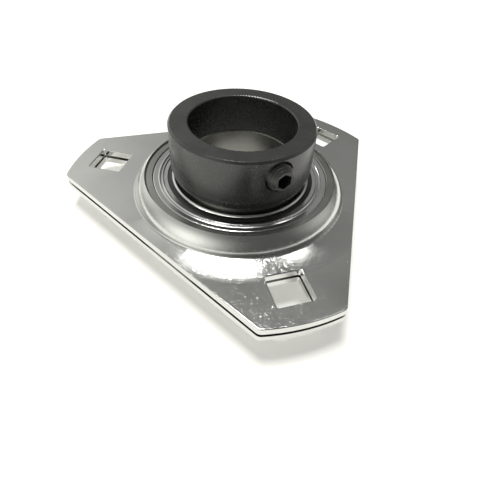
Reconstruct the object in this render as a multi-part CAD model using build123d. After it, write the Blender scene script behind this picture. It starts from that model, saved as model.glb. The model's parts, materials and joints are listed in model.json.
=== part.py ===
from build123d import *
from math import cos, radians, sin, sqrt, tan
import os

# Three-bolt pressed-steel flange bearing with a ball insert and an eccentric locking collar.
# Millimetres. Z is the shaft axis, pointing out of the collar. Z = 0 is the rear face of the
# flange, which bolts against the machine. One corner of the flange points along -Y.
# Profiles of turned parts are drawn as (radius, height above the bearing's mid-plane).

# Pressed flange shells
SHEET = 2.0                   # thickness of each pressed shell
SHELL_GAP = 1.0               # gap between the two shells before the bolts are tightened
FLANGE_R = 56.5               # circle that the three corners lie on
CORNER_HALF_ANGLE = 11.9      # half of the arc at each corner, degrees
CORNER_ROUND = 2.0            # rounding where an arc meets a straight side
BOLT_CIRCLE_R = 90.5 / 2
BOLT_SQUARE = 10.4            # square hole for the neck of an M10 carriage bolt
SQUARE_ROUND = 0.6
EDGE_ROLL = 0.35              # rounded top edge left by the blanking die
CORNER_ANGLES = (-90, 30, 150)
BULGE_FOOT_R = 33.6           # where the outside of the bulge meets the flat sheet
BULGE_RIM_H = 7.6             # mouth of the bulge above the mid-plane
BULGE_SLOPE = 75              # side of the bulge, degrees from the flat sheet
BULGE_RIM_SLOPE = 32          # slope left where the rounded shoulder reaches the mouth
BULGE_FOOT_ROUND = 0.5
SHELL_BEND = 1.2              # bend at the inner side of the sheet

# Bearing insert
SPHERE_R = 31.0               # outer ring's spherical outside
SEAT_CLEARANCE = 0.05
OUTER_HALF_WIDTH = 7.0
OUTER_CHAMFER = 0.35
RECESS_CHAMFER = 0.15
OUTER_LAND_R = 26.4
SEAL_RECESS_R = 27.65
SEAL_RECESS_DEPTH = 1.8
BORE_R = 31.75 / 2            # 1 1/4 inch shaft
INNER_R = 19.3
INNER_BACK_H = -9.0
INNER_FRONT_H = 13.2
INNER_CHAMFER = 0.5
BALL_COUNT = 9
BALL_R = 9.525 / 2
PITCH_R = 23.0
RACE_CLEARANCE = 0.03
RACE_GROOVE_R = 1.04 * BALL_R

# Ball cage, two riveted ribbons
CAGE_INNER_R = 21.3
CAGE_OUTER_R = 24.7
CAGE_SHEET = 0.7
POCKET_CLEARANCE = 0.15
RIVET_R = 0.75
RIVET_HEAD_R = 1.25
RIVET_HEAD_H = 0.5
RIVET_HEAD_TAPER = 0.3

# Seals and flingers, the same on both sides
SHIELD_SHEET = 0.45
SHIELD_TOP_H = 6.8
SHIELD_SHOULDER = 0.4         # rounded outer edge where the shield is crimped into its recess
SHIELD_INNER_R = 23.1
SHIELD_INNER_DROP = 0.4       # the inner part of the shield lies this much lower
BEAD_RS = (25.5, 24.58)       # crests of the two raised beads
BEAD_CREST_ROUND = 0.25
BEAD_GROOVE_R = 25.03         # groove between the beads
BEAD_GROOVE_DEPTH = 0.42
BEAD_FOOT_ROUND = 0.12
BEAD_WIDTH = 0.42             # from each crest to the foot on its far side
BEAD_FOOT_DROP = 0.12
LIP_R = 19.45
LIP_TOP_H = 6.1
LIP_BOTTOM_H = 5.7
LIP_EDGE = 0.25               # thickness of the lip's free edge
LIP_TAPER = 1.2
LIP_BOND_R = 24.6             # the rubber is bonded to the shield inside this
FLINGER_R = 21.8
FLINGER_TOP_H = 7.4
FLINGER_SHEET = 0.5
FLINGER_ROLL = 0.7            # radius of the edge that is rolled down
FLINGER_DEPTH = 0.95

# Eccentric locking collar and its set screw
COLLAR_R = 21.75
COLLAR_BOTTOM_H = 9.15
COLLAR_TOP_H = 25.05
COLLAR_BORE_R = BORE_R + 0.03
COLLAR_RIM_CHAMFER = 0.6
COLLAR_BORE_ROUND = 0.5
COLLAR_FOOT_ROUND = 1.0       # softens the edge above the tapered foot
COLLAR_EDGE_ROUND = 0.15      # every other outer edge of the collar
COLLAR_TAPER_H = 2.6          # tapered foot of the collar, height and depth
COLLAR_TAPER_R = 0.8
ECCENTRICITY = 0.8
CAM_R = 18.4
CAM_CLEARANCE = 0.4           # sets how far the collar turns before it locks
CAM_BOTTOM_H = 9.0
RECESS_TOP_H = INNER_FRONT_H + 0.2
SCREW_ANGLE = -79
SCREW_H = 19.5
SCREW_R = 3.95                # outside of an M8 thread
SCREW_HOLE_R = 4.05
SCREW_PITCH = 1.25
SCREW_THREAD_DEPTH = 0.6
SCREW_CREST = 0.15            # flat at the top and bottom of the thread
SCREW_COUNTERSINK = 0.4       # the hole's mouth widens over three times this depth
SCREW_TIP_R = BORE_R + 0.3
SCREW_LENGTH = 8.0
SCREW_END_R = 2.85            # flat end face around the socket
SCREW_POINT_R = 2.6           # rim of the cup point
SCREW_CUP_DEPTH = 0.9
SCREW_SOCKET = 4.0            # hexagon across flats
SCREW_SOCKET_DEPTH = 4.0
DRIFT_HOLE_ANGLE = 41
DRIFT_HOLE_R = 3.0
DRIFT_HOLE_DEPTH = 3.2
DRILL_POINT = 1.0             # cone left by the drill

MID_PLANE = SHEET + SHELL_GAP / 2
SEAT_R = SPHERE_R + SEAT_CLEARANCE


def on_sphere(radius, height):
    """Point of a circle about the bearing centre, as (radius, height)."""
    return (sqrt(radius**2 - height**2), height)


def turned(*curves):
    """Solid of revolution about Z from the closed profile that the curves make."""
    return revolve(Plane.XZ * make_face(Curve() + list(curves)), Axis.Z)


def turned_polygon(*points):
    return turned(Polyline(*points, close=True))


def around(count, radius):
    return [Rot(Z=360 / count * i) * Pos(radius, 0, 0) for i in range(count)]


def radial(angle, height, radius=0.0):
    """Frame on a radius of the shaft axis, whose Z points outwards."""
    return Rot(Z=angle) * Pos(radius, 0, height) * Rot(Y=90)


def flange_outline():
    """Triangle with its three corners cut back to arcs of one circle."""
    arcs = [
        CenterArc((0, 0), FLANGE_R, angle - CORNER_HALF_ANGLE, 2 * CORNER_HALF_ANGLE)
        for angle in CORNER_ANGLES
    ]
    sides = [Line(arcs[i] @ 1, arcs[(i + 1) % 3] @ 0) for i in range(3)]
    outline = make_face(Curve() + arcs + sides)
    return fillet(outline.vertices(), CORNER_ROUND)


def bolt_squares():
    """Square bolt holes, each with two sides square to its radius."""
    square = RectangleRounded(BOLT_SQUARE, BOLT_SQUARE, SQUARE_ROUND)
    return Sketch() + [Rot(Z=angle) * Pos(BOLT_CIRCLE_R, 0) * square for angle in CORNER_ANGLES]


def bulge():
    """Turned ring that holds the spherical seat and blends into the flat sheet."""
    low = SHELL_GAP / 2
    high = low + SHEET
    overlap = BULGE_FOOT_R + BULGE_FOOT_ROUND
    rim = on_sphere(SEAT_R, BULGE_RIM_H)
    steepness = tan(radians(BULGE_SLOPE))
    chord_angle = radians(BULGE_SLOPE + BULGE_RIM_SLOPE) / 2
    chord = (steepness * (BULGE_FOOT_R - rim[0]) - BULGE_RIM_H + high) / (
        steepness * cos(chord_angle) - sin(chord_angle)
    )
    shoulder = (rim[0] + chord * cos(chord_angle), rim[1] - chord * sin(chord_angle))
    bend_top = on_sphere(SEAT_R, low + SHELL_BEND)
    bend_foot = (bend_top[0] + SHELL_BEND, low)
    diagonal = SHELL_BEND * (1 - sqrt(0.5))
    bend_mid = (bend_top[0] + diagonal, low + diagonal)
    side = FilletPolyline((overlap, high), (BULGE_FOOT_R, high), shoulder, radius=BULGE_FOOT_ROUND)
    return turned(
        side,
        TangentArc(shoulder, rim, tangent=side % 1),
        ThreePointArc(rim, on_sphere(SEAT_R, BULGE_RIM_H / 2), bend_top),
        ThreePointArc(bend_top, bend_mid, bend_foot),
        Polyline(bend_foot, (overlap, low), (overlap, high)),
    )


def shell():
    """One pressed shell, drawn above the mid-plane."""
    low = SHELL_GAP / 2
    sheet = extrude(Pos(0, 0, low) * (flange_outline() - bolt_squares()), SHEET)
    sheet = fillet(sheet.faces().sort_by(Axis.Z)[-1].edges(), EDGE_ROLL)
    sheet -= extrude(Pos(0, 0, low) * Circle(BULGE_FOOT_R + BULGE_FOOT_ROUND), SHEET)
    return sheet + bulge()


def outer_ring():
    half = OUTER_HALF_WIDTH
    ledge = half - SEAL_RECESS_DEPTH
    groove_centre = PITCH_R + BALL_R + RACE_CLEARANCE - RACE_GROOVE_R
    groove_half = sqrt(RACE_GROOVE_R**2 - (OUTER_LAND_R - groove_centre) ** 2)
    chamfered = on_sphere(SPHERE_R, half - OUTER_CHAMFER)
    face_r = chamfered[0] - 2 * OUTER_CHAMFER
    lower = (chamfered[0], -chamfered[1])
    return turned(
        ThreePointArc(chamfered, (SPHERE_R, 0), lower),
        Polyline(
            lower,
            (face_r, -half),
            (SEAL_RECESS_R + RECESS_CHAMFER, -half),
            (SEAL_RECESS_R, -half + RECESS_CHAMFER),
            (SEAL_RECESS_R, -ledge),
            (OUTER_LAND_R, -ledge),
            (OUTER_LAND_R, -groove_half),
        ),
        ThreePointArc(
            (OUTER_LAND_R, -groove_half),
            (groove_centre + RACE_GROOVE_R, 0),
            (OUTER_LAND_R, groove_half),
        ),
        Polyline(
            (OUTER_LAND_R, groove_half),
            (OUTER_LAND_R, ledge),
            (SEAL_RECESS_R, ledge),
            (SEAL_RECESS_R, half - RECESS_CHAMFER),
            (SEAL_RECESS_R + RECESS_CHAMFER, half),
            (face_r, half),
            chamfered,
        ),
    )


def inner_ring():
    """Inner ring with its ball groove, and the eccentric cam that the collar grips."""
    groove_centre = PITCH_R - BALL_R - RACE_CLEARANCE + RACE_GROOVE_R
    groove_half = sqrt(RACE_GROOVE_R**2 - (groove_centre - INNER_R) ** 2)
    ring = turned(
        ThreePointArc(
            (INNER_R, -groove_half),
            (groove_centre - RACE_GROOVE_R, 0),
            (INNER_R, groove_half),
        ),
        Polyline(
            (INNER_R, groove_half),
            (INNER_R, CAM_BOTTOM_H),
            (BORE_R, CAM_BOTTOM_H),
            (BORE_R, INNER_BACK_H + INNER_CHAMFER),
            (BORE_R + INNER_CHAMFER, INNER_BACK_H),
            (INNER_R - INNER_CHAMFER, INNER_BACK_H),
            (INNER_R, INNER_BACK_H + INNER_CHAMFER),
            (INNER_R, -groove_half),
        ),
    )
    cam = Pos(ECCENTRICITY, 0, 0) * turned_polygon(
        (0, CAM_BOTTOM_H),
        (CAM_R, CAM_BOTTOM_H),
        (CAM_R, INNER_FRONT_H - INNER_CHAMFER),
        (CAM_R - INNER_CHAMFER, INNER_FRONT_H),
        (0, INNER_FRONT_H),
    )
    bore = turned_polygon(
        (0, CAM_BOTTOM_H),
        (BORE_R, CAM_BOTTOM_H),
        (BORE_R, INNER_FRONT_H - INNER_CHAMFER),
        (BORE_R + INNER_CHAMFER, INNER_FRONT_H),
        (0, INNER_FRONT_H),
    )
    return ring + (cam - bore)


def ball():
    return Sphere(BALL_R)


def cage_half():
    """Pressed ribbon with a spherical pocket over each ball, drawn above the mid-plane."""
    pocket_r = BALL_R + POCKET_CLEARANCE
    band_h = pocket_r + CAGE_SHEET
    band = Cylinder(CAGE_OUTER_R, band_h, align=(Align.CENTER, Align.CENTER, Align.MIN))
    band -= Cylinder(CAGE_INNER_R, band_h, align=(Align.CENTER, Align.CENTER, Align.MIN))
    ribbon = Cylinder(CAGE_OUTER_R, CAGE_SHEET, align=(Align.CENTER, Align.CENTER, Align.MIN))
    pockets = [place * Sphere(band_h) for place in around(BALL_COUNT, PITCH_R)]
    holes = [place * Sphere(pocket_r) for place in around(BALL_COUNT, PITCH_R)]
    rivet_holes = [Rot(Z=180 / BALL_COUNT) * place * Cylinder(RIVET_R, 4 * CAGE_SHEET)
                   for place in around(BALL_COUNT, PITCH_R)]
    return (band & (ribbon + pockets)) - holes - rivet_holes


def cage_rivets():
    """One rivet between each pair of balls."""
    reach = CAGE_SHEET + RIVET_HEAD_H
    rivet = turned_polygon(
        (0, -reach),
        (RIVET_HEAD_R - RIVET_HEAD_TAPER, -reach),
        (RIVET_HEAD_R, -CAGE_SHEET),
        (RIVET_R, -CAGE_SHEET),
        (RIVET_R, CAGE_SHEET),
        (RIVET_HEAD_R, CAGE_SHEET),
        (RIVET_HEAD_R - RIVET_HEAD_TAPER, reach),
        (0, reach),
    )
    return Compound([Rot(Z=180 / BALL_COUNT) * place * rivet for place in around(BALL_COUNT, PITCH_R)])


def shield():
    """Pressed steel disc crimped into the outer ring's recess, with two beads near its middle."""
    top = SHIELD_TOP_H
    foot = OUTER_HALF_WIDTH - SEAL_RECESS_DEPTH
    inner = top - SHIELD_INNER_DROP
    upper = FilletPolyline(
        (SEAL_RECESS_R, foot),
        (SEAL_RECESS_R, top),
        (BEAD_RS[0] + BEAD_WIDTH, top - BEAD_FOOT_DROP),
        (BEAD_RS[0], top),
        (BEAD_GROOVE_R, top - BEAD_GROOVE_DEPTH),
        (BEAD_RS[1], top),
        (BEAD_RS[1] - BEAD_WIDTH, inner),
        (SHIELD_INNER_R, inner),
        radius=[
            SHIELD_SHOULDER,
            BEAD_FOOT_ROUND,
            BEAD_CREST_ROUND,
            BEAD_FOOT_ROUND,
            BEAD_CREST_ROUND,
            BEAD_FOOT_ROUND,
        ],
    )
    under = Polyline(
        (SHIELD_INNER_R, inner),
        (SHIELD_INNER_R, inner - SHIELD_SHEET),
        (SEAL_RECESS_R - 3 * SHIELD_SHEET, inner - SHIELD_SHEET),
        (SEAL_RECESS_R - SHIELD_SHEET, foot),
        (SEAL_RECESS_R, foot),
    )
    return turned(upper, under)


def seal_lip():
    """Rubber lip bonded under the shield, reaching almost to the inner ring."""
    bond = SHIELD_TOP_H - SHIELD_INNER_DROP - SHIELD_SHEET
    return turned_polygon(
        (LIP_R, LIP_TOP_H),
        (LIP_R, LIP_TOP_H - LIP_EDGE),
        (LIP_R + LIP_TAPER, LIP_BOTTOM_H),
        (LIP_BOND_R, LIP_BOTTOM_H),
        (LIP_BOND_R, bond),
        (SHIELD_INNER_R, bond),
        (SHIELD_INNER_R - LIP_EDGE, LIP_TOP_H),
    )


def flinger():
    """Steel ring pressed on the inner ring outside the seal, with its edge rolled down."""
    top = FLINGER_TOP_H
    under = top - FLINGER_SHEET
    edge = top - FLINGER_DEPTH
    upper = FilletPolyline((INNER_R, top), (FLINGER_R, top), (FLINGER_R, edge), radius=FLINGER_ROLL)
    lower = FilletPolyline(
        (FLINGER_R, edge),
        (FLINGER_R - FLINGER_SHEET, edge),
        (FLINGER_R - FLINGER_SHEET, under),
        (INNER_R, under),
        radius=[FLINGER_SHEET / 4, FLINGER_ROLL - FLINGER_SHEET],
    )
    return turned(upper, lower, Line((INNER_R, under), (INNER_R, top)))


def locking_collar():
    """Collar with an eccentric recess, a tapped screw hole and a blind drift hole."""
    bottom = COLLAR_BOTTOM_H
    top = COLLAR_TOP_H
    edge = COLLAR_EDGE_ROUND
    outside = FilletPolyline(
        (COLLAR_BORE_R, bottom),
        (COLLAR_R - COLLAR_TAPER_R, bottom),
        (COLLAR_R, bottom + COLLAR_TAPER_H),
        (COLLAR_R, top - COLLAR_RIM_CHAMFER),
        (COLLAR_R - COLLAR_RIM_CHAMFER, top),
        (COLLAR_BORE_R, top),
        (COLLAR_BORE_R, bottom + COLLAR_TAPER_H),
        radius=[edge, COLLAR_FOOT_ROUND, edge, edge, COLLAR_BORE_ROUND],
    )
    body = turned(outside, Line(outside @ 1, outside @ 0))
    recess = Pos(ECCENTRICITY, 0, 0) * turned_polygon(
        (0, bottom),
        (CAM_R + CAM_CLEARANCE, bottom),
        (CAM_R + CAM_CLEARANCE, RECESS_TOP_H),
        (0, RECESS_TOP_H),
    )
    screw_hole = radial(SCREW_ANGLE, SCREW_H) * turned_polygon(
        (0, 0),
        (SCREW_HOLE_R, 0),
        (SCREW_HOLE_R, COLLAR_R - 2 * SCREW_COUNTERSINK),
        (SCREW_HOLE_R + 3 * SCREW_COUNTERSINK, COLLAR_R + SCREW_COUNTERSINK),
        (0, COLLAR_R + SCREW_COUNTERSINK),
    )
    drift_floor = COLLAR_R - DRIFT_HOLE_DEPTH
    drift_hole = radial(DRIFT_HOLE_ANGLE, SCREW_H) * turned_polygon(
        (0, drift_floor - DRILL_POINT),
        (DRIFT_HOLE_R, drift_floor),
        (DRIFT_HOLE_R, COLLAR_R + DRILL_POINT),
        (0, COLLAR_R + DRILL_POINT),
    )
    return body - recess - screw_hole - drift_hole


def set_screw():
    """Headless screw with a hexagon socket and a cup point, backed off clear of the shaft."""
    root = SCREW_R - SCREW_THREAD_DEPTH
    point_taper = root - SCREW_POINT_R
    end_taper = root - SCREW_END_R
    flank = (SCREW_PITCH - 2 * SCREW_CREST) / 2
    turns = int((SCREW_LENGTH - point_taper - end_taper) / SCREW_PITCH)
    start = SCREW_LENGTH - end_taper - turns * SCREW_PITCH
    profile = [(0, SCREW_CUP_DEPTH), (SCREW_POINT_R, 0), (root, point_taper)]
    for turn in range(turns):
        height = start + turn * SCREW_PITCH
        profile += [
            (root, height),
            (SCREW_R, height + flank),
            (SCREW_R, height + flank + SCREW_CREST),
            (root, height + 2 * flank + SCREW_CREST),
        ]
    profile += [(root, SCREW_LENGTH - end_taper), (SCREW_END_R, SCREW_LENGTH), (0, SCREW_LENGTH)]
    socket_r = SCREW_SOCKET / 2 / cos(radians(30))
    socket = Pos(0, 0, SCREW_LENGTH - SCREW_SOCKET_DEPTH) * extrude(
        RegularPolygon(socket_r, 6), SCREW_SOCKET_DEPTH
    )
    return radial(SCREW_ANGLE, SCREW_H, SCREW_TIP_R) * (turned_polygon(*profile) - socket)


def lifted(shape):
    """Moves a shape from the bearing's mid-plane to its place above the mounting face."""
    return Pos(0, 0, MID_PLANE) * shape


def turned_over(shape):
    """The same piece on the rear side, mirrored in the mid-plane."""
    return mirror(shape, Plane.XY)


def build():
    parts = {
        "front_shell": shell(),
        "back_shell": turned_over(shell()),
        "outer_ring": outer_ring(),
        "inner_ring": inner_ring(),
        "cage_front_half": cage_half(),
        "cage_back_half": turned_over(cage_half()),
        "cage_rivets": cage_rivets(),
        "front_shield": shield(),
        "back_shield": turned_over(shield()),
        "front_seal_lip": seal_lip(),
        "back_seal_lip": turned_over(seal_lip()),
        "front_flinger": flinger(),
        "back_flinger": turned_over(flinger()),
        "locking_collar": locking_collar(),
        "set_screw": set_screw(),
    }
    for number, place in enumerate(around(BALL_COUNT, PITCH_R), start=1):
        parts[f"ball_{number}"] = place * ball()
    return {name: lifted(shape) for name, shape in parts.items()}


os.makedirs("parts", exist_ok=True)
for node, solid in build().items():
    export_step(solid, f"parts/{node}.step")
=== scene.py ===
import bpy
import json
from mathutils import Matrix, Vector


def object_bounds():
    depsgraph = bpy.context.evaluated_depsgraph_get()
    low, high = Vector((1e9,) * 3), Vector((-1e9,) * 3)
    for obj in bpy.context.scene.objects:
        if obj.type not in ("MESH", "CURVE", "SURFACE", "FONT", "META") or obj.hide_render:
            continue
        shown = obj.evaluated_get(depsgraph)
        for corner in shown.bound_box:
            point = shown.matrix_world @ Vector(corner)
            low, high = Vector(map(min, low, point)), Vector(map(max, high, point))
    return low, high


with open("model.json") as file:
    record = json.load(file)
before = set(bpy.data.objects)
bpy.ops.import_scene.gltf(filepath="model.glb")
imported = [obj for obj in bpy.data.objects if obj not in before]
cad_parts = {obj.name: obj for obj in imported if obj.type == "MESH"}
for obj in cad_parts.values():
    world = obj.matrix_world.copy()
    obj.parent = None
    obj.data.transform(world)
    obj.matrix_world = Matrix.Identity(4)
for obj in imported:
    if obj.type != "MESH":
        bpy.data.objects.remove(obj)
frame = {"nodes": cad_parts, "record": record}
cad_box = [list(corner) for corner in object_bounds()]

import json
import math

import bpy
from mathutils import Matrix, Vector

MM = 0.001
NODES = frame["nodes"]

# ---------------------------------------------------------------- camera
# Where the camera stands, seen from the target: azimuth from -Y towards +X, elevation above the floor
VIEW_AZIMUTH = math.radians(-20.94)
VIEW_ELEVATION = math.radians(45.54)
VIEW_ROLL = math.radians(4.92)
VIEW_DISTANCE = 113.23 * MM
VIEW_TARGET = Vector((-5.86, -29.78, 5.0)) * MM
LENS_MM = 29.38
SENSOR_MM = 36.0
CLIP_START = 5 * MM
CLIP_END = 20.0


def make_camera():
    back = Vector((
        math.sin(VIEW_AZIMUTH) * math.cos(VIEW_ELEVATION),
        -math.cos(VIEW_AZIMUTH) * math.cos(VIEW_ELEVATION),
        math.sin(VIEW_ELEVATION),
    ))
    right = Vector((math.cos(VIEW_AZIMUTH), math.sin(VIEW_AZIMUTH), 0))
    up = back.cross(right)
    turn = Matrix.Rotation(VIEW_ROLL, 3, back)
    axes = Matrix((turn @ right, turn @ up, back)).transposed()
    data = bpy.data.cameras.new("camera")
    data.lens = LENS_MM
    data.sensor_width = SENSOR_MM
    data.clip_start = CLIP_START
    data.clip_end = CLIP_END
    camera = bpy.data.objects.new("camera", data)
    camera.matrix_world = Matrix.Translation(VIEW_TARGET + back * VIEW_DISTANCE) @ axes.to_4x4()
    bpy.context.scene.collection.objects.link(camera)
    bpy.context.scene.camera = camera


# ---------------------------------------------------------------- floor
FLOOR_HALF = 6.0
FLOOR_COLOUR = (0.93, 0.925, 0.9, 1)
FLOOR_ROUGHNESS = 0.9
# A faint glow keeps the floor nearly white without stronger lamps, which would wash out the steel
FLOOR_GLOW_COLOUR = (1.0, 0.99, 0.95, 1)
FLOOR_GLOW = 0.24


def make_floor():
    level = cad_box[0][2]
    corners = [(-1, -1), (1, -1), (1, 1), (-1, 1)]
    points = [(x * FLOOR_HALF, y * FLOOR_HALF, level) for x, y in corners]
    mesh = bpy.data.meshes.new("floor")
    mesh.from_pydata(points, [], [(0, 1, 2, 3)])
    floor = bpy.data.objects.new("floor", mesh)
    bpy.context.scene.collection.objects.link(floor)
    material = bpy.data.materials.new("floor")
    material.use_nodes = True
    shader = material.node_tree.nodes["Principled BSDF"]
    shader.inputs["Base Color"].default_value = FLOOR_COLOUR
    shader.inputs["Roughness"].default_value = FLOOR_ROUGHNESS
    shader.inputs["Emission Color"].default_value = FLOOR_GLOW_COLOUR
    shader.inputs["Emission Strength"].default_value = FLOOR_GLOW
    mesh.materials.append(material)


# ---------------------------------------------------------------- light
# The room is dim, with soft pale panels round it: (azimuth, elevation, sharpness, strength, colour)
ROOM_COLOUR = (0.11, 0.11, 0.105)
PANELS = (
    (-110, 18, 6, 1.35, (1.0, 1.0, 0.94)),
    (-30, 25, 7, 1.0, (1.0, 1.0, 0.96)),
    (36, 38, 14, 0.16, (1.0, 1.0, 0.97)),
    (95, 22, 12, 0.5, (1.0, 0.99, 0.94)),
)
# Lamps above the bearing: (name, azimuth, elevation, size in metres, power in watts)
LAMP_DISTANCE = 1.2
LAMP_COLOUR = (1.0, 0.995, 0.97)
LAMPS = (
    ("ceiling_lamp", -8, 78, 0.38, 11.0),
    ("side_lamp", 68, 62, 0.11, 0.35),
)


def direction(azimuth, elevation):
    """Unit vector towards a place in the room, from degrees. Azimuth 0 is +Y and 90 is +X."""
    azimuth = math.radians(azimuth)
    elevation = math.radians(elevation)
    return Vector((
        math.sin(azimuth) * math.cos(elevation),
        math.cos(azimuth) * math.cos(elevation),
        math.sin(elevation),
    ))


def make_room():
    """Fills the world with the room colour plus one soft lobe of light for each panel."""
    world = bpy.data.worlds.new("studio")
    bpy.context.scene.world = world
    world.use_nodes = True
    tree = world.node_tree
    place = tree.nodes.new("ShaderNodeTexCoord").outputs["Generated"]
    light = None
    for azimuth, elevation, sharpness, strength, colour in PANELS:
        facing = tree.nodes.new("ShaderNodeVectorMath")
        facing.operation = "DOT_PRODUCT"
        tree.links.new(place, facing.inputs[0])
        facing.inputs[1].default_value = direction(azimuth, elevation)
        lit = tree.nodes.new("ShaderNodeMath")
        lit.operation = "MAXIMUM"
        lit.inputs[1].default_value = 0.0
        tree.links.new(facing.outputs["Value"], lit.inputs[0])
        shaped = tree.nodes.new("ShaderNodeMath")
        shaped.operation = "POWER"
        shaped.inputs[1].default_value = sharpness
        tree.links.new(lit.outputs[0], shaped.inputs[0])
        panel = tree.nodes.new("ShaderNodeVectorMath")
        panel.operation = "SCALE"
        panel.inputs[0].default_value = [channel * strength for channel in colour]
        tree.links.new(shaped.outputs[0], panel.inputs["Scale"])
        total = tree.nodes.new("ShaderNodeVectorMath")
        total.operation = "ADD"
        tree.links.new(panel.outputs["Vector"], total.inputs[0])
        if light is None:
            total.inputs[1].default_value = ROOM_COLOUR
        else:
            tree.links.new(light, total.inputs[1])
        light = total.outputs["Vector"]
    tree.links.new(light, tree.nodes["Background"].inputs["Color"])


def make_lamps():
    for name, azimuth, elevation, size, power in LAMPS:
        data = bpy.data.lights.new(name, "AREA")
        data.size = size
        data.energy = power
        data.color = LAMP_COLOUR
        lamp = bpy.data.objects.new(name, data)
        towards = direction(azimuth, elevation)
        lamp.location = towards * LAMP_DISTANCE
        lamp.rotation_euler = towards.to_track_quat("Z", "Y").to_euler()
        bpy.context.scene.collection.objects.link(lamp)


# ---------------------------------------------------------------- materials
# Parts of a noise's range that are stretched over a whole mix
WIDE = (0.3, 0.7)
NARROW = (0.35, 0.65)
SCRATCH_CREST = (0.66, 0.74)


class Shader:
    """Small helper for building one node material. Positions are in metres, in the object's frame."""

    SOCKETS = {"base": "Base Color", "rough": "Roughness", "metal": "Metallic", "normal": "Normal"}

    def __init__(self, name):
        self.material = bpy.data.materials.new(name)
        self.material.use_nodes = True
        self.tree = self.material.node_tree
        self.surface = self.tree.nodes["Principled BSDF"]
        self.position = self.node("ShaderNodeTexCoord").outputs["Object"]

    def node(self, kind, **settings):
        made = self.tree.nodes.new(kind)
        for name, value in settings.items():
            setattr(made, name, value)
        return made

    def link(self, source, target):
        self.tree.links.new(source, target)

    def put(self, socket, value):
        """Links a socket, or sets a constant."""
        if isinstance(value, bpy.types.NodeSocket):
            self.link(value, socket)
        else:
            socket.default_value = value

    def math(self, operation, *values):
        made = self.node("ShaderNodeMath", operation=operation)
        for socket, value in zip(made.inputs, values):
            self.put(socket, value)
        return made.outputs[0]

    def noise(self, scale, detail, roughness, vector=None):
        """Noise, with a scale of about so many features in a metre."""
        made = self.node("ShaderNodeTexNoise")
        self.link(vector or self.position, made.inputs["Vector"])
        made.inputs["Scale"].default_value = scale
        made.inputs["Detail"].default_value = detail
        made.inputs["Roughness"].default_value = roughness
        return made.outputs["Fac"]

    def spread(self, value, low, high, out_low=0.0, out_high=1.0):
        """Maps low to out_low and high to out_high, and stays between those two."""
        made = self.node("ShaderNodeMapRange")
        self.link(value, made.inputs["Value"])
        limits = {"From Min": low, "From Max": high, "To Min": out_low, "To Max": out_high}
        for name, number in limits.items():
            made.inputs[name].default_value = number
        return made.outputs["Result"]

    def colours(self, value, first, second):
        """Mixes two colours."""
        made = self.node("ShaderNodeMix", data_type="RGBA")
        self.link(value, made.inputs["Factor"])
        made.inputs["A"].default_value = (*first, 1)
        made.inputs["B"].default_value = (*second, 1)
        return made.outputs["Result"]

    def radius_and_height(self):
        """Distance from Z, and height along Z, both in metres."""
        parts = self.node("ShaderNodeSeparateXYZ")
        self.link(self.position, parts.inputs[0])
        squares = [self.math("POWER", parts.outputs[axis], 2.0) for axis in ("X", "Y")]
        return self.math("SQRT", self.math("ADD", *squares)), parts.outputs["Z"]

    def turned_vector(self):
        """Coordinates that are the same all round Z, so noise in them looks turned on a lathe."""
        radius, height = self.radius_and_height()
        joined = self.node("ShaderNodeCombineXYZ")
        self.link(radius, joined.inputs["X"])
        self.link(height, joined.inputs["Y"])
        return joined.outputs[0]

    def facing_part(self, towards, radius):
        """Cosine of the angle round Z between the position and a direction."""
        made = self.node("ShaderNodeVectorMath", operation="DOT_PRODUCT")
        self.link(self.position, made.inputs[0])
        made.inputs[1].default_value = towards
        return self.math("DIVIDE", made.outputs["Value"], radius)

    def scratches(self, families):
        """Fine straight scratches in a few directions: (angle in the XY plane, across, along)."""
        total = None
        for angle, across, along in families:
            turned = self.node("ShaderNodeMapping")
            self.link(self.position, turned.inputs["Vector"])
            turned.inputs["Rotation"].default_value = (0, 0, angle)
            turned.inputs["Scale"].default_value = (across / along, 1, 1)
            line = self.noise(along, 2, 0.5, turned.outputs["Vector"])
            line = self.spread(line, *SCRATCH_CREST)
            total = line if total is None else self.math("MAXIMUM", total, line)
        return total

    def bump(self, height, depth, under=None, strength=1.0):
        made = self.node("ShaderNodeBump")
        self.put(made.inputs["Strength"], strength)
        made.inputs["Distance"].default_value = depth
        self.link(height, made.inputs["Height"])
        if under is not None:
            self.link(under, made.inputs["Normal"])
        return made.outputs["Normal"]

    def finish(self, **inputs):
        for key, value in inputs.items():
            self.put(self.surface.inputs[self.SOCKETS[key]], value)
        return self.material


# The flat sheet looks as if it rises towards the bulge on the side of the front corner
DISH_OUTER_R = 42.5 * MM
DISH_INNER_R = 34.1 * MM
DISH_RISE = 1.4 * MM
DISH_CURVE = 1.5
DISH_MIDDLE = (-0.174, -0.985, 0.0)
# Cosines of the angle from the dish's middle at which it has faded out, and at which it is full
DISH_SIDES = (0.45, 0.85)
# (angle, features in a metre across the scratch, features in a metre along it)
ZINC_SCRATCHES = ((0.35, 9000, 260), (-0.9, 7000, 200), (1.9, 11000, 300))
ZINC_DARK = (0.64, 0.645, 0.63)
ZINC_LIGHT = (0.69, 0.695, 0.68)
RIPPLE_HEIGHT = 0.014 * MM
GRAIN_HEIGHT = 0.010 * MM
PIT_DEPTH = 0.012 * MM
SCRATCH_DEPTH = 0.002 * MM
SCRATCH_ROUGHNESS = 0.06


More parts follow.
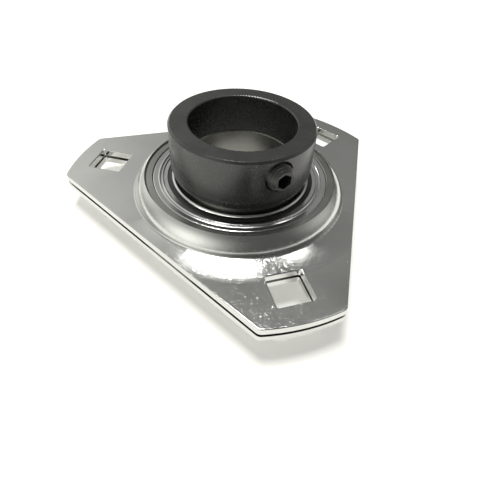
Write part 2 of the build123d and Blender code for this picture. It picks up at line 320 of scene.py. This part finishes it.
def zinc_sheet():
    """Bright zinc plating on pressed sheet: rippled, grainy, pitted and scratched."""
    s = Shader("zinc_sheet")
    grain = s.noise(scale=2600, detail=4, roughness=0.7)
    pits = s.spread(s.noise(scale=1900, detail=5, roughness=0.75), 0.58, 0.72)
    ripple = s.noise(scale=330, detail=3, roughness=0.5)
    cloud = s.noise(scale=70, detail=3, roughness=0.5)
    scratches = s.scratches(ZINC_SCRATCHES)
    radius, _ = s.radius_and_height()
    dish = s.math("POWER", s.spread(radius, DISH_OUTER_R, DISH_INNER_R), DISH_CURVE)
    near_corner = s.spread(s.facing_part(DISH_MIDDLE, radius), *DISH_SIDES)
    dish = s.math("MULTIPLY", dish, near_corner)
    base = s.colours(s.spread(cloud, *NARROW), ZINC_DARK, ZINC_LIGHT)
    rough = s.spread(cloud, *WIDE, out_low=0.11, out_high=0.15)
    rough = s.math("ADD", rough, s.spread(grain, 0.35, 0.7, out_low=-0.02, out_high=0.05))
    rough = s.math("ADD", rough, s.math("MULTIPLY", scratches, SCRATCH_ROUGHNESS))
    outside_bulge = s.math("GREATER_THAN", radius, DISH_INNER_R)
    normal = s.bump(dish, DISH_RISE, strength=outside_bulge)
    normal = s.bump(ripple, RIPPLE_HEIGHT, normal)
    normal = s.bump(grain, GRAIN_HEIGHT, normal)
    normal = s.bump(pits, -PIT_DEPTH, normal)
    normal = s.bump(scratches, -SCRATCH_DEPTH, normal)
    return s.finish(base=base, rough=rough, metal=1.0, normal=normal)


# Bare steels: (name, darkest colour, lightest colour, least roughness, most roughness, groove in mm)
TURNED_STEELS = (
    ("ground_steel", (0.36, 0.36, 0.34), (0.44, 0.44, 0.42), 0.16, 0.28, 0.002),
    # The bore's copy of the ground steel is darker only as painted shade: the inner ring is the same
    # steel, seen down inside the collar
    ("ground_steel_bore_painted_shade", (0.18, 0.18, 0.168), (0.24, 0.24, 0.225), 0.18, 0.26, 0.0012),
    ("pressed_bright_steel", (0.60, 0.61, 0.60), (0.70, 0.70, 0.69), 0.12, 0.22, 0.002),
    ("cage_steel", (0.36, 0.35, 0.33), (0.48, 0.47, 0.44), 0.28, 0.42, 0.004),
    ("ball_steel", (0.72, 0.72, 0.72), (0.8, 0.8, 0.8), 0.05, 0.09, 0.0005),
)
# Blacked steels: the same, without the groove
BLACK_OXIDES = (
    ("black_oxide", (0.014, 0.0146, 0.0142), (0.025, 0.0255, 0.023), 0.22, 0.32),
    ("black_oxide_screw", (0.006, 0.006, 0.006), (0.014, 0.014, 0.013), 0.34, 0.44),
)
OXIDE_IOR = 1.72
OXIDE_TEXTURE = 0.002 * MM
RUBBER_TEXTURE = 0.01 * MM


def turned_steel(name, dark, light, rough_low, rough_high, groove):
    """Bare steel with fine tool rings round Z and cloudy patches."""
    s = Shader(name)
    rings = s.noise(9000, 2, 0.7, s.turned_vector())
    cloud = s.noise(scale=90, detail=3, roughness=0.5)
    base = s.colours(s.spread(cloud, *NARROW), dark, light)
    rough = s.spread(rings, *WIDE, out_low=rough_low, out_high=rough_high)
    rough = s.math("ADD", rough, s.spread(cloud, *WIDE, out_low=-0.03, out_high=0.03))
    normal = s.bump(rings, groove * MM)
    return s.finish(base=base, rough=rough, metal=1.0, normal=normal)


def black_oxide(name, dark, light, rough_low, rough_high):
    """Hot-blacked turned steel: nearly black, satin, with faint tool rings and rubbed patches."""
    s = Shader(name)
    rings = s.noise(5000, 2, 0.7, s.turned_vector())
    cloud = s.noise(scale=110, detail=4, roughness=0.6)
    speck = s.noise(scale=2600, detail=3, roughness=0.6)
    base = s.colours(s.spread(cloud, *WIDE), dark, light)
    rough = s.spread(cloud, *WIDE, out_low=rough_low, out_high=rough_high)
    rough = s.math("ADD", rough, s.spread(speck, *WIDE, out_low=-0.03, out_high=0.05))
    normal = s.bump(speck, OXIDE_TEXTURE, s.bump(rings, OXIDE_TEXTURE))
    s.surface.inputs["IOR"].default_value = OXIDE_IOR
    return s.finish(base=base, rough=rough, metal=0.0, normal=normal)


def seal_rubber():
    """Matt black rubber."""
    s = Shader("seal_rubber")
    grain = s.noise(scale=3000, detail=3, roughness=0.6)
    base = s.colours(s.spread(grain, *WIDE), (0.018, 0.018, 0.018), (0.03, 0.03, 0.03))
    rough = s.spread(grain, *WIDE, out_low=0.5, out_high=0.65)
    return s.finish(base=base, rough=rough, normal=s.bump(grain, RUBBER_TEXTURE))


def paint_nodes():
    """Gives every CAD node the finish of its material slot. The inner ring gets a darker copy of the
    ground steel instead, as painted shade for the bore down inside the collar.
    """
    looks = {"zinc_sheet": zinc_sheet(), "seal_rubber": seal_rubber()}
    for name, *values in TURNED_STEELS:
        looks[name] = turned_steel(name, *values)
    for name, *values in BLACK_OXIDES:
        looks[name] = black_oxide(name, *values)
    for row in frame["record"]["subparts"]:
        # The inner ring takes the darker copy of the ground steel, painted shade for the bore
        slot = "ground_steel_bore_painted_shade" if row["node"] == "inner_ring" else row["material_slot"]
        mesh = NODES[row["node"]].data
        mesh.materials.clear()
        mesh.materials.append(looks[slot])


make_camera()
make_floor()
make_room()
make_lamps()
paint_nodes()
bpy.context.scene.view_settings.view_transform = "Standard"
